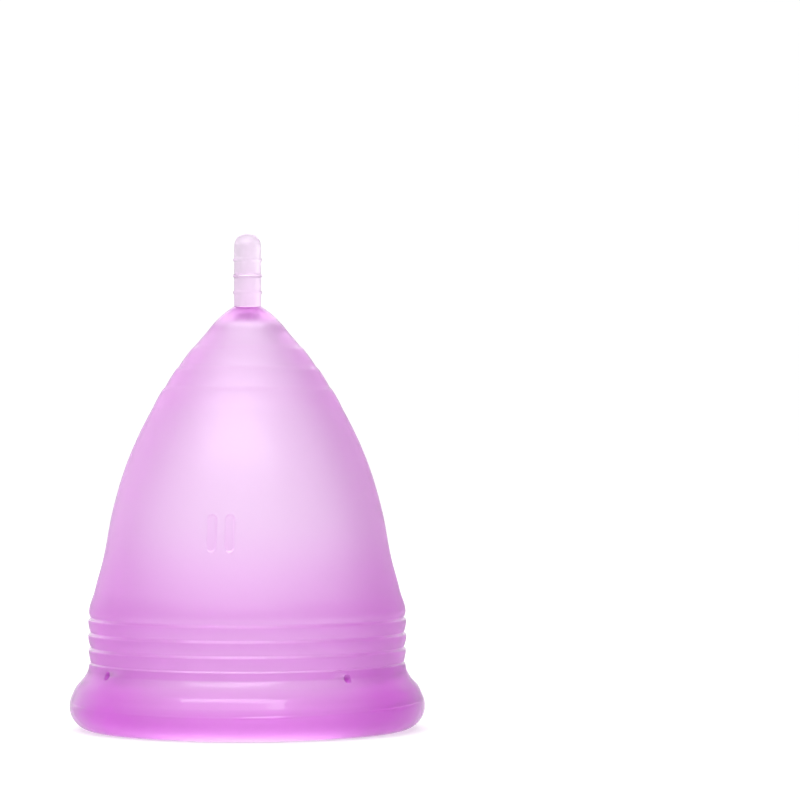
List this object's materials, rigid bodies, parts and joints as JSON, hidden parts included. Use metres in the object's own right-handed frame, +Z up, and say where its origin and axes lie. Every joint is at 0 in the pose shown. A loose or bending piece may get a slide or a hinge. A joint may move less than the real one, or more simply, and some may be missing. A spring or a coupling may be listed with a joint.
{
  "type": "menstrual cup",
  "caption": "Soft silicone menstrual cup: a bell on a rolled rim with grip rings, vent holes and a flexible stem.",
  "frame": {"origin": "centre of the rim's flat foot, which rests on the table with the cup mouth down", "axes": "+Z up along the cup's axis, through the base and the stem; -Y is the side with the size mark"},
  "size_m": [0.046, 0.046, 0.0642],
  "materials": {
    "silicone": "translucent satin silicone",
    "stem_silicone": "translucent satin silicone, pale where thin"
  },
  "bodies": {
    "cup": {"rim": "silicone", "grip_band": "silicone", "bell": "silicone", "base": "silicone", "stem_root": "stem_silicone"},
    "stem_middle": {"stem_middle": "stem_silicone"},
    "stem_tip": {"stem_tip": "stem_silicone"}
  },
  "joints": [
    {"name": "stem_bend_lower", "type": "hinge", "parent": "cup", "child": "stem_middle", "pos_m": [0, 0, 0.057], "axis": [0, 1, 0], "range_deg": [-35, 35], "stiffness_Nm_per_rad": 0.0024},
    {"name": "stem_bend_upper", "type": "hinge", "parent": "stem_middle", "child": "stem_tip", "pos_m": [0, 0, 0.0612], "axis": [1, 0, 0], "range_deg": [-35, 35], "stiffness_Nm_per_rad": 0.0024}
  ]
}
